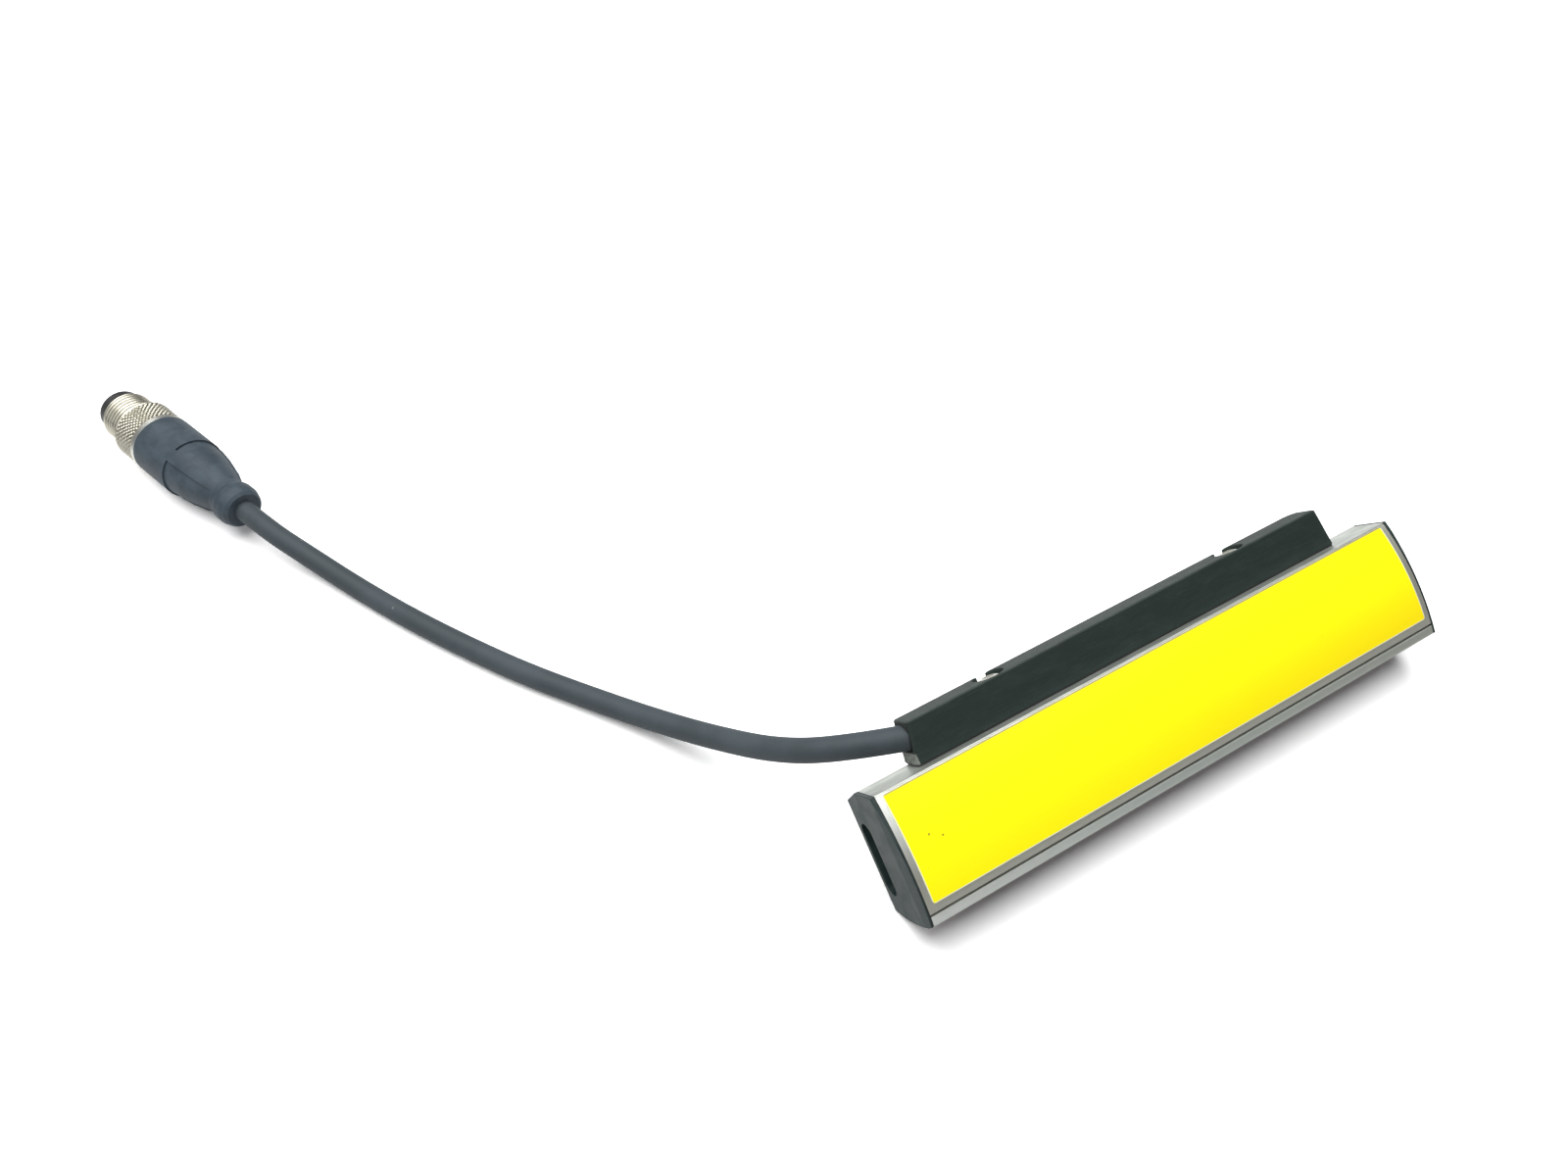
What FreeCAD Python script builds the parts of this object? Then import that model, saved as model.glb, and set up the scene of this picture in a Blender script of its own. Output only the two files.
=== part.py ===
import FreeCAD, Part
import math
import os
from FreeCAD import Matrix, Placement, Rotation, Vector

# Safety light curtain: a short leaning stick with a cable connection block and an M12 plug.
# Millimetres. Stick pieces are drawn on the bench frame: X along the stick, Y from the window
# side to the connection side, Z from the flat back to the crowned label face. Plug pieces are
# drawn along X, with 0 at the front face of the moulded grip. Both are then placed in the
# resting frame, where Z is up and the floor is Z = 0.

# Stick section
stick_length = 120.0
body_width = 23.9
rear_slope_run = 1.9
shoulder_height = 5.2
block_edge_height = 13.0
window_edge_height = 14.8
crown_rise = 0.7
crown_at = 12.1
window_bulge = 0.9
wall = 1.0
lip_depth = 1.3
mount_wall = 2.4
lean = 39.3

# Label face
label_margin = 2.1
label_low = 3.65
label_side_margin = 0.45
label_thickness = 0.15
label_corner = 0.6
strip_width = 1.75
groove_width = 0.4
groove_depth = 0.5
edge_line_inset = 0.35
edge_line_width = 0.2
edge_line_depth = 0.15

# Front screen
window_low = 3.0
window_cover = 2.8
screen_flange = 1.0
screen_overlap = 1.0
sliding_gap = 0.05

# End caps
cap_plate = 0.7
cap_seal = 0.2
cap_plug = 4.6
cap_gap = 0.05
cap_bevel = 0.45
cap_bevel_height = 2.6
cap_edge = 0.15
slot_length = 14.1
slot_width = 4.1
slot_start = 3.7
slot_rim = 1.3
slot_depth = 4.0

# Optics
beam_pitch = 10.0
lens_air = 0.3
lens_plate = 1.0
lens_radius = 3.3
lens_crown = 0.6
bar_depth = 9.4
bar_height = 10.4
tunnel_front = 3.6
tunnel_back = 1.9
emitter_size = 3.0
emitter_height = 1.2
receiver_size = 3.4
receiver_height = 0.9
board_thickness = 1.0
board_clearance = 0.6
board_gap = 0.05
guide_width = 0.8
guide_height = 1.1
end_room = 1.0

# Board parts; each package is (place as a share of the board's half length, length, height)
socket_height = 2.6
chip_rise = 1.1
board_packages = [(-0.26, 7.0, 7.0), (0.0, 5.0, 6.2), (0.2, 5.0, 6.2), (0.45, 8.0, 8.0), (0.71, 4.0, 5.0)]

# Connection block
block_start = 11.15
block_length = 97.55
block_height = 7.7
block_thickness = 6.3
block_back = 4.25
block_slope = 1.1
block_seal = 0.4
seal_inset = 0.3
far_back_corner = 2.8
far_top_bevel = 0.6
end_corner = 0.65
top_edge = 0.35
screw_start = 20.05
screw_spacing = 56.6
screw_inset = 2.9
screw_radius = 1.25
screw_engagement = 2.2
screw_head_radius = 2.6
screw_head_height = 2.2
screw_head_crown = 0.7
counterbore_radius = 3.05
counterbore_depth = 2.4
screw_gap = 0.05
block_screw_gap = 0.2
socket_key = 1.25
socket_key_depth = 0.9

# Cable entry and link into the stick
cable_radius = 2.35
entry_from_seal = 4.6
entry_back = 2.95
entry_inset = 0.65
chamber_wall = 0.65
chamber_length = 15.5
potting_setback = 0.9
notch_depth = 0.5
notch_height = 2.1
link_count = 5
link_pitch = 1.27
link_inset = 10.7
link_pin = 0.5
header_width = 3.4
header_height = 1.6
core_radius = 0.38
core_pitch = 0.8
core_overlap = 0.3
cable_entry = 1.1

# Plug; the lists are (distance behind the grip's front face, radius)
plug_angle = 110.0
plug_x = -147.3
plug_y = 174.7
grip_radius = 7.35
grip_edge = 0.45
shoulder_at = 12.5
shoulder_run = 1.2
shoulder_radius = 6.95
taper = [(17.5, 6.4), (22.5, 5.25)]
neck_start = 26.0
neck_end = 27.6
neck_radius = 4.3
bead = [(28.1, 4.8), (29.0, 5.0), (30.8, 5.0), (32.3, 4.55)]
bead_end = 33.0
bead_face = 4.0
hollow_count = 3
hollow_first = 38.0
hollow_angle = 96.0
ridge_height = 0.4
sleeve_gap = 0.3
ring_radius = 7.3
ring_edge = 0.6
ring_end = 8.4
thread_radius = 6.0
thread_relief = 0.7
thread_relief_depth = 0.5
thread_end = 15.5
thread_chamfer = 0.55
running_gap = 0.06
carrier_neck = 4.6
carrier_radius = 5.1
carrier_anchor = 8.0
carrier_step = 4.2
cup_radius = 4.35
cup_floor = 8.5
cup_rim = 18.4
keyway_width = 1.2
keyway_depth = 0.4
pin_radius = 0.5
pin_circle = 2.5
pin_ring_count = 4
pin_start = 3.5
pin_tip = 15.8

# Route of the cable's centreline between the entry and the plug, in the resting frame
cable_bends = [
    (-57.7, 16.2, 21.6),
    (-65.7, 24.6, 15.4),
    (-72.9, 37.1, 8.3),
    (-80.5, 49.3, 4.1),
    (-89.0, 61.6, 2.4),
    (-98.0, 73.7, 2.4),
    (-106.1, 86.4, 2.4),
    (-113.8, 99.6, 2.4),
    (-120.9, 113.3, 2.5),
    (-127.4, 125.9, 4.1),
    (-132.8, 134.8, 7.3),
]

# Reach of the shapes that cut or keep one side of a piece
FAR = 200.0

crown_height = window_edge_height + crown_rise
window_high = window_edge_height - window_cover
housing_half = stick_length / 2 - cap_plate - cap_seal
screen_back = lip_depth + screen_flange
lens_front = screen_back + lens_air
bar_front = lens_front + lens_plate
board_front = bar_front + bar_depth
board_back = board_front + board_thickness
board_top = crown_height - wall - board_clearance
inner_half = housing_half - cap_plug - end_room
beam_height = (window_low + window_high) / 2
beam_count = int((inner_half - lens_radius) * 2 // beam_pitch) + 1
beam_positions = [(i - (beam_count - 1) / 2) * beam_pitch for i in range(beam_count)]
block_base = body_width + block_seal
block_top = block_base + block_height
block_near = block_start - stick_length / 2
block_far = block_near + block_length
block_front = block_back + block_thickness
block_middle = block_back + block_thickness / 2
screw_line = block_back + screw_inset
screw_positions = [block_near + screw_start, block_near + screw_start + screw_spacing]
entry_x = block_near + entry_inset
entry_y = block_base + entry_from_seal
entry_z = block_back + entry_back
chamber_half = block_thickness / 2 - chamber_wall
chamber_roof = entry_y + cable_radius + sliding_gap
link_x = block_near + link_inset
link_positions = [link_x + (i - (link_count - 1) / 2) * link_pitch for i in range(link_count)]
header_half = link_count * link_pitch / 2
plug_bore = carrier_neck + running_gap


def save(name, shape):
    if len(shape.Solids) == 1:
        shape = shape.Solids[0]
    shape.exportStep(os.path.join("parts", name + ".step"))


def box(x0, x1, y0, y1, z0, z1):
    return Part.makeBox(x1 - x0, y1 - y0, z1 - z0, Vector(x0, y0, z0))


def line(start, end):
    return Part.LineSegment(start, end).toShape()


def arc(start, middle, end):
    return Part.Arc(start, middle, end).toShape()


def body_outline():
    """The stick's outer section: flat back, rear slope, short side, crowned face, bulged window side."""
    back_foot = Vector(0, 0, 0)
    back_corner = Vector(0, body_width - rear_slope_run, 0)
    slope_top = Vector(0, body_width, shoulder_height)
    side_top = Vector(0, body_width, block_edge_height)
    window_top = Vector(0, 0, window_edge_height)
    return Part.Wire([
        line(back_foot, back_corner),
        line(back_corner, slope_top),
        line(slope_top, side_top),
        arc(side_top, Vector(0, crown_at, crown_height), window_top),
        arc(window_top, Vector(0, -window_bulge, window_edge_height / 2), back_foot),
    ])


def body_prism(x0, x1, grow=0.0):
    """The stick's section, grown or shrunk all round, from x0 to x1."""
    outline = body_outline()
    if grow:
        outline = outline.makeOffset2D(grow, 2)
    face = Part.Face(outline)
    face.translate(Vector(x0, 0, 0))
    return face.extrude(Vector(x1 - x0, 0, 0))


def inner_prism(x0, x1, front, gap=0.0):
    """The hollow of the extrusion from x0 to x1, behind the front plane, with a gap all round."""
    hollow = body_prism(x0, x1, -(wall + gap))
    return hollow.common(box(x0, x1, front, body_width - mount_wall - gap, -FAR, FAR))


def face_groove(at, width, depth):
    """A groove along the whole crowned face, from its surface down."""
    skin = body_prism(-FAR, FAR, depth).cut(body_prism(-FAR, FAR, -depth))
    return skin.common(box(-FAR, FAR, at, at + width, shoulder_height, FAR))


def rounded_slot(length, width, depth):
    """A round-ended slot along Y, standing on X = 0, with its centre line on Z = 0."""
    radius = width / 2
    outline = Part.Wire([
        line(Vector(0, radius, -radius), Vector(0, length - radius, -radius)),
        arc(Vector(0, length - radius, -radius), Vector(0, length, 0), Vector(0, length - radius, radius)),
        line(Vector(0, length - radius, radius), Vector(0, radius, radius)),
        arc(Vector(0, radius, radius), Vector(0, 0, 0), Vector(0, radius, -radius)),
    ])
    return Part.Face(outline).extrude(Vector(depth, 0, 0))


def rod(radius, start, end):
    return Part.makeCylinder(radius, (end - start).Length, start, end - start)


def dome(radius, crown, base, direction):
    """A spherical cap of a lens or screw head, standing on base."""
    ball_radius = (radius ** 2 + crown ** 2) / (2 * crown)
    ball = Part.makeSphere(ball_radius, base + direction * (crown - ball_radius))
    return ball.common(rod(radius, base, base + direction * crown))


def turned(points):
    """A solid of revolution about X, from (along, radius) points that close on the axis or on themselves."""
    outline = Part.makePolygon([Vector(x, 0, r) for x, r in points + points[:1]])
    return Part.Face(outline).revolve(Vector(0, 0, 0), Vector(1, 0, 0), 360)


def tube(route, radius):
    """A round tube along straight runs joined by arcs as large as the runs allow, and its arcs' radii."""
    edges = []
    radii = []
    at = route[0]
    for before, corner, after in zip(route, route[1:], route[2:]):
        inward = (corner - before).normalize()
        outward = (after - corner).normalize()
        half_turn = inward.getAngle(outward) / 2
        reach = 0.45 * min((corner - before).Length, (after - corner).Length)
        bend_radius = reach / math.tan(half_turn)
        toward_centre = (outward - inward).normalize()
        bend_start = corner - inward * reach
        bend_end = corner + outward * reach
        bend_middle = corner + toward_centre * (bend_radius / math.cos(half_turn) - bend_radius)
        edges.append(line(at, bend_start))
        edges.append(arc(bend_start, bend_middle, bend_end))
        radii.append(bend_radius)
        at = bend_end
    edges.append(line(at, route[-1]))
    path = Part.Wire(edges)
    profile = Part.Wire(Part.makeCircle(radius, route[0], route[1] - route[0]))
    return path.makePipeShell([profile], True, False), path.Length, radii


# Housing: aluminium extrusion, open on the window side, with a thicker wall under the block
def make_housing():
    shell = body_prism(-housing_half, housing_half)
    shell = shell.cut(inner_prism(-FAR, FAR, lip_depth))
    shell = shell.cut(box(-FAR, FAR, -FAR, lip_depth, window_low, window_high))
    shell = shell.fuse(board_guides()).removeSplitter()
    shell = shell.cut(face_groove(strip_width, groove_width, groove_depth))
    shell = shell.cut(face_groove(body_width - edge_line_inset, edge_line_width, edge_line_depth))
    shell = shell.cut(link_opening(body_width - mount_wall, body_width))
    for x in screw_positions:
        shell = shell.cut(screw_bore(x, screw_radius + screw_gap, body_width - mount_wall, body_width))
    return shell


def board_guides():
    """Ribs inside the back and the crown that hold the board's two long edges."""
    y0 = board_front - board_gap - guide_width
    y1 = board_back + board_gap + guide_width
    ribs = box(-inner_half, inner_half, y0, y1, wall, wall + guide_height)
    ribs = ribs.fuse(box(-inner_half, inner_half, y0, y1, board_top - guide_height, crown_height))
    ribs = ribs.cut(box(-FAR, FAR, board_front - board_gap, board_back + board_gap,
                        wall, board_top + board_gap))
    return ribs.common(body_prism(-FAR, FAR, -wall / 2))


def link_opening(y0, y1):
    """The way from the connection block into the stick."""
    reach = header_half + sliding_gap
    half = header_width / 2 + sliding_gap
    return box(link_x - reach, link_x + reach, y0, y1, block_middle - half, block_middle + half)


def screw_bore(x, radius, y0, y1):
    return rod(radius, Vector(x, y0, screw_line), Vector(x, y1, screw_line))


# Front screen: a slid-in strip whose flange bears on the inside of the extrusion's lips
def make_screen():
    low = window_low + sliding_gap
    high = window_high - sliding_gap
    half = housing_half - sliding_gap
    pane = body_prism(-half, half).common(box(-FAR, FAR, -FAR, lip_depth, low, high))
    flange = box(-half, half, lip_depth, screen_back, low - screen_overlap, high + screen_overlap)
    return pane.fuse(flange).removeSplitter()


# Label: a film on the crowned face with rounded corners
def make_label():
    film = body_prism(-FAR, FAR, label_thickness).cut(body_prism(-FAR, FAR))
    half = stick_length / 2 - label_margin
    plate = box(-half, half, label_low, body_width - label_side_margin, shoulder_height, FAR)
    upright = [e for e in plate.Edges if abs(e.tangentAt(e.FirstParameter).z) > 0.99]
    plate = plate.makeFillet(label_corner, upright)
    return film.common(plate)


# End caps: a bevelled plate with a plug in the extrusion and a blind slot for a bracket's tongue
def make_cap():
    outer = -stick_length / 2
    plate = body_prism(outer, outer + cap_plate)
    rim = [e for e in plate.Edges if e.CenterOfMass.x < outer + cap_edge and e.BoundBox.XLength < cap_edge]
    plate = plate.makeChamfer(cap_edge, rim)
    bevel = box(-FAR, 0, -FAR, FAR, -cap_bevel_height, FAR)
    bevel.rotate(Vector(0, 0, -cap_bevel_height), Vector(0, 1, 0),
                 math.degrees(math.atan2(cap_bevel, cap_bevel_height)))
    bevel.translate(Vector(outer, 0, crown_height))
    plug_front = screen_back + cap_gap
    plug_end = outer + cap_plate + cap_seal + cap_plug
    plug = inner_prism(outer + cap_plate, plug_end, plug_front, cap_gap)
    slot = rounded_slot(slot_length, slot_width, slot_depth)
    slot.translate(Vector(outer, slot_start, slot_rim + slot_width / 2))
    return plate.cut(bevel).fuse(plug).removeSplitter().cut(slot)


# End seals: thin gaskets between each cap and the cut end of the extrusion
def make_cap_seal():
    outer = -stick_length / 2 + cap_plate
    ring = body_prism(outer, outer + cap_seal, -cap_gap)
    return ring.cut(inner_prism(outer, outer + cap_seal, screen_back, 0.0))


def mirrored(shape):
    return shape.mirror(Vector(0, 0, 0), Vector(1, 0, 0))


# Optics: lens strip, tunnel bar, emitters and receivers in turn, on one board
def make_lens_strip():
    half = bar_height / 2
    strip = box(-inner_half, inner_half, lens_front, bar_front, beam_height - half, beam_height + half)
    for x in beam_positions:
        strip = strip.fuse(dome(lens_radius, lens_crown, Vector(x, bar_front, beam_height), Vector(0, 1, 0)))
    return strip.removeSplitter()


def make_tunnel_bar():
    half = bar_height / 2
    bar = box(-inner_half, inner_half, bar_front, board_front, beam_height - half, beam_height + half)
    for x in beam_positions:
        tunnel = Part.makeWedge(-tunnel_front, 0, -tunnel_front, -tunnel_back, -tunnel_back,
                                tunnel_front, bar_depth, tunnel_front, tunnel_back, tunnel_back)
        tunnel.translate(Vector(x, bar_front, beam_height))
        bar = bar.cut(tunnel)
    return bar


def beam_chips(positions, size, height):
    """Emitters or receivers: flat square packages on the board, each at the end of its tunnel."""
    half = size / 2
    return Part.makeCompound([
        box(x - half, x + half, board_front - height, board_front, beam_height - half, beam_height + half)
        for x in positions])


def make_board():
    return box(-inner_half, inner_half, board_front, board_back, wall, board_top)


def make_board_socket():
    """The socket on the back of the board that takes the link pins."""
    half = header_width / 2
    body = box(link_x - header_half, link_x + header_half, board_back, board_back + socket_height,
               block_middle - half, block_middle + half)
    for pin in link_pins().Solids:
        body = body.cut(pin)
    return body


def make_board_chips():
    """Processor, driver and supply packages on the back of the board."""
    chips = []
    for share, length, height in board_packages:
        x = share * inner_half
        chips.append(box(x - length / 2, x + length / 2, board_back, board_back + chip_rise,
                         beam_height - height / 2, beam_height + height / 2))
    return Part.makeCompound(chips)


# Connection block: moulded cover with slanted ends, screwed to the extrusion over a flat seal
def nearest_edge(shape, x, y, z):
    return min(shape.Edges, key=lambda e: e.CenterOfMass.distanceToPoint(Vector(x, y, z)))


def block_body():
    """The cover's outside: a low trapezium with one large corner at the far end of its back."""
    corners = [(block_near, block_base), (block_far, block_base),
               (block_far - block_slope, block_top - far_top_bevel),
               (block_far - block_slope - far_top_bevel, block_top), (block_near + block_slope, block_top)]
    outline = Part.makePolygon([Vector(x, y, block_back) for x, y in corners + corners[:1]])
    body = Part.Face(outline).extrude(Vector(0, 0, block_thickness))
    far_edge = block_far - block_slope / 2
    near_edge = block_near + block_slope / 2
    middle = (block_base + block_top) / 2
    for x, z, radius in ((far_edge, block_back, far_back_corner), (far_edge, block_front, end_corner),
                         (near_edge, block_back, end_corner), (near_edge, block_front, end_corner)):
        body = body.makeFillet(radius, [nearest_edge(body, x, middle, z)])
    rim = [e for e in body.Edges if e.CenterOfMass.y > block_top - top_edge and e.Length > block_length / 2]
    return body.makeFillet(top_edge, rim)


def end_notch():
    """The open foot of the cover's cable end, where the sealing compound comes out flush."""
    return box(-FAR, block_near + notch_depth, block_base, block_base + notch_height, -FAR, FAR)


def make_block():
    chamber = box(-FAR, block_near + chamber_length, block_base - block_seal, chamber_roof,
                  block_middle - chamber_half, block_middle + chamber_half)
    body = block_body().cut(chamber).cut(end_notch())
    seat = block_top - counterbore_depth
    for x in screw_positions:
        body = body.cut(screw_bore(x, screw_radius + block_screw_gap, block_base, seat))
        body = body.cut(screw_bore(x, counterbore_radius, seat, block_top))
    return body


def make_block_seal():
    back = block_back + seal_inset
    far = block_far - seal_inset
    seal = box(block_near + seal_inset, far, body_width, block_base, back, block_front - seal_inset)
    corner = nearest_edge(seal, far, body_width + block_seal / 2, back)
    seal = seal.makeFillet(far_back_corner - seal_inset, [corner])
    seal = seal.cut(link_opening(body_width, block_base))
    for x in screw_positions:
        seal = seal.cut(screw_bore(x, screw_radius + screw_gap, body_width, block_base))
    return seal


def make_screws():
    """Domed hexagon-socket screws that hold the block to the extrusion."""
    screws = []
    seat = block_top - counterbore_depth
    up = Vector(0, 1, 0)
    for x in screw_positions:
        rim = seat + screw_head_height - screw_head_crown
        shank = screw_bore(x, screw_radius, body_width - screw_engagement, seat)
        head = screw_bore(x, screw_head_radius, seat, rim)
        crown = dome(screw_head_radius, screw_head_crown, Vector(x, rim, screw_line), up)
        screw = shank.fuse(head).fuse(crown)
        key_floor = seat + screw_head_height - socket_key_depth
        turns = [math.radians(60 * k) for k in range(7)]
        corners = [Vector(x + socket_key * math.cos(t), key_floor, screw_line + socket_key * math.sin(t))
                   for t in turns]
        key = Part.Face(Part.makePolygon(corners)).extrude(up * screw_head_height)
        screws.append(screw.cut(key).removeSplitter())
    return Part.makeCompound(screws)


def link_pins():
    """Square pins from the block's header through the opening to the board's socket."""
    half = link_pin / 2
    low = board_back + socket_height / 2
    high = block_base + header_height
    return Part.makeCompound([
        box(x - half, x + half, low, high, block_middle - half, block_middle + half)
        for x in link_positions])


def header_box():
    half = header_width / 2
    return box(link_x - header_half, link_x + header_half, body_width - mount_wall, block_base + header_height,
               block_middle - half, block_middle + half)


def make_header():
    body = header_box()
    for pin in link_pins().Solids:
        body = body.cut(pin)
    return body


def make_cores(cable):
    """Insulated cores that fan from the stripped cable to the header, one for each pin."""
    cores = []
    for i, x in enumerate(link_positions):
        z = entry_z + (i - (link_count - 1) / 2) * core_pitch
        start = Vector(entry_x + core_overlap, entry_y, z)
        end = Vector(x, block_base + header_height, z)
        core = rod(core_radius, start, end + (end - start).normalize() * core_radius)
        cores.append(core.cut(cable).cut(header_box()))
    return cores


def make_potting(cable, cores):
    """Sealing compound that fills the block's cable chamber round the cable, cores and header."""
    fill = box(block_near + potting_setback, block_near + chamber_length, block_base, chamber_roof,
               block_middle - chamber_half, block_middle + chamber_half)
    foot = box(block_near + notch_depth, block_near + potting_setback, block_base, block_base + notch_height,
               block_middle - chamber_half, block_middle + chamber_half)
    fill = fill.fuse(foot).fuse(block_body().common(end_notch())).removeSplitter()
    for piece in cores + [cable, header_box()]:
        fill = fill.cut(piece)
    return fill


# Plug
def make_overmould(cable):
    """Moulded grip: collar, three shouldered finger hollows with ridges between, neck and cable bead."""
    ridges = [(-s, r + ridge_height) for s, r in taper]
    grip = turned([(0, 0), (0, grip_radius - grip_edge), (-grip_edge, grip_radius),
                   (-shoulder_at - shoulder_run, grip_radius)] + ridges
                  + [(-neck_start, neck_radius), (-neck_end, neck_radius)] + [(-s, r) for s, r in bead]
                  + [(-bead_end, bead_face), (-bead_end, 0)])
    floor = [(shoulder_at, shoulder_radius)] + taper + [(neck_start, neck_radius)]
    corners = [Vector(-s, 0, r) for s, r in floor]
    corners += [Vector(-neck_start, 0, 2 * grip_radius), Vector(-shoulder_at, 0, 2 * grip_radius)]
    side = Part.Face(Part.makePolygon(corners + corners[:1]))
    for k in range(hollow_count):
        hollow = side.revolve(Vector(0, 0, 0), Vector(1, 0, 0), hollow_angle)
        hollow.rotate(Vector(0, 0, 0), Vector(1, 0, 0), hollow_first - hollow_angle / 2 + k * 360 / hollow_count)
        grip = grip.cut(hollow)
    grip = grip.cut(rod(carrier_neck, Vector(-carrier_anchor, 0, 0), Vector(0, 0, 0)))
    return on_floor(grip).cut(cable)


def make_sleeve():
    """Knurled coupling sleeve with an M12 outside thread, free to turn on the contact carrier."""
    collar_end = carrier_step - sleeve_gap
    bore = carrier_radius + running_gap
    return turned([
        (sleeve_gap, plug_bore), (sleeve_gap, ring_radius - ring_edge), (sleeve_gap + ring_edge, ring_radius),
        (ring_end - ring_edge, ring_radius), (ring_end, ring_radius - ring_edge),
        (ring_end, thread_radius - thread_relief_depth),
        (ring_end + thread_relief, thread_radius - thread_relief_depth), (ring_end + thread_relief, thread_radius),
        (thread_end - thread_chamfer, thread_radius), (thread_end, thread_radius - thread_chamfer),
        (thread_end, bore), (collar_end, bore), (collar_end, plug_bore),
    ])


def make_carrier():
    """Moulded contact carrier: a keyed cup round the pins, anchored in the grip."""
    body = turned([
        (-carrier_anchor, 0), (-carrier_anchor, carrier_neck), (carrier_step, carrier_neck),
        (carrier_step, carrier_radius), (cup_rim, carrier_radius), (cup_rim, cup_radius),
        (cup_floor, cup_radius), (cup_floor, 0),
    ])
    keyway = box(cup_floor, cup_rim, -keyway_width / 2, keyway_width / 2, 0, cup_radius + keyway_depth)
    floor_disc = rod(cup_radius, Vector(cup_floor - keyway_depth, 0, 0), Vector(cup_floor, 0, 0))
    body = body.cut(keyway).fuse(floor_disc).removeSplitter()
    for pin in make_pins().Solids:
        body = body.cut(pin)
    return body


def make_pins():
    places = [(0.0, 0.0)]
    for k in range(pin_ring_count):
        turn = math.radians(45 + k * 360 / pin_ring_count)
        places.append((pin_circle * math.cos(turn), pin_circle * math.sin(turn)))
    pins = []
    for y, z in places:
        shank = rod(pin_radius, Vector(pin_start, y, z), Vector(pin_tip - pin_radius, y, z))
        tip = Part.makeCone(pin_radius, pin_radius / 2, pin_radius, Vector(pin_tip - pin_radius, y, z), Vector(1, 0, 0))
        pins.append(shank.fuse(tip).removeSplitter())
    return Part.makeCompound(pins)


# Placement in the resting frame: the stick leans on its lower back edge, the plug lies on the floor
def tilted(shape):
    placed = shape.copy()
    placed.rotate(Vector(0, 0, 0), Vector(1, 0, 0), lean)
    return placed


def on_floor(shape):
    placed = shape.copy()
    placed.rotate(Vector(0, 0, 0), Vector(0, 0, 1), plug_angle)
    placed.translate(Vector(plug_x, plug_y, grip_radius))
    return placed


stick = {
    "housing": make_housing(),
    "front_screen": make_screen(),
    "label": make_label(),
    "end_cap_near": make_cap(),
    "end_cap_far": mirrored(make_cap()),
    "end_seal_near": make_cap_seal(),
    "end_seal_far": mirrored(make_cap_seal()),
    "lens_strip": make_lens_strip(),
    "tunnel_bar": make_tunnel_bar(),
    "optics_board": make_board(),
    "infrared_emitters": beam_chips(beam_positions[0::2], emitter_size, emitter_height),
    "photodiodes": beam_chips(beam_positions[1::2], receiver_size, receiver_height),
    "board_chips": make_board_chips(),
    "board_socket": make_board_socket(),
    "connection_block": make_block(),
    "block_seal": make_block_seal(),
    "block_screws": make_screws(),
    "link_pins": link_pins(),
    "pin_header": make_header(),
}
stick_box = tilted(Part.makeCompound(list(stick.values()))).optimalBoundingBox()
drop = Vector(-stick_box.Center.x, -stick_box.Center.y, -stick_box.ZMin)


def resting(shape):
    placed = tilted(shape)
    placed.translate(drop)
    return placed


def bench(shape):
    """Brings a shape of the resting frame back to the bench frame."""
    placed = shape.copy()
    placed.translate(drop * -1)
    placed.rotate(Vector(0, 0, 0), Vector(1, 0, 0), -lean)
    return placed


entry = Placement(drop, Rotation(Vector(1, 0, 0), lean)).multVec(Vector(entry_x, entry_y, entry_z))
first_bend = Vector(*cable_bends[0])
cable_start = entry - (first_bend - entry).normalize() * cable_entry
plug_turn = Rotation(Vector(0, 0, 1), plug_angle)
cable_end = Placement(Vector(plug_x, plug_y, grip_radius), plug_turn).multVec(Vector(-bead_end, 0, 0))
route = [cable_start] + [Vector(*point) for point in cable_bends] + [cable_end]
cable, cable_length, cable_radii = tube(route, cable_radius)
bench_cable = bench(cable)
cores = make_cores(bench_cable)
stick["potting"] = make_potting(bench_cable, cores)
stick["connection_block"] = stick["connection_block"].cut(bench_cable)
stick["cable_cores"] = Part.makeCompound(cores)

os.makedirs("parts", exist_ok=True)
for name, shape in stick.items():
    save(name, resting(shape))
save("cable", cable)
save("plug_grip", make_overmould(cable))
save("coupling_sleeve", on_floor(make_sleeve()))
save("contact_carrier", on_floor(make_carrier()))
save("contact_pins", on_floor(make_pins()))

print("cable: length %.1f, volume / (section * length) %.4f" % (
    cable_length, cable.Volume / (math.pi * cable_radius ** 2 * cable_length)))
print("cable arc radii:", " ".join("%.1f" % r for r in cable_radii))
print("cable start", [round(v, 3) for v in route[0]], "end", [round(v, 3) for v in route[-1]])
print("origin shift", [round(v, 3) for v in drop])
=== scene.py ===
import math

import bmesh
import bpy
from mathutils import Matrix, Vector


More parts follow.
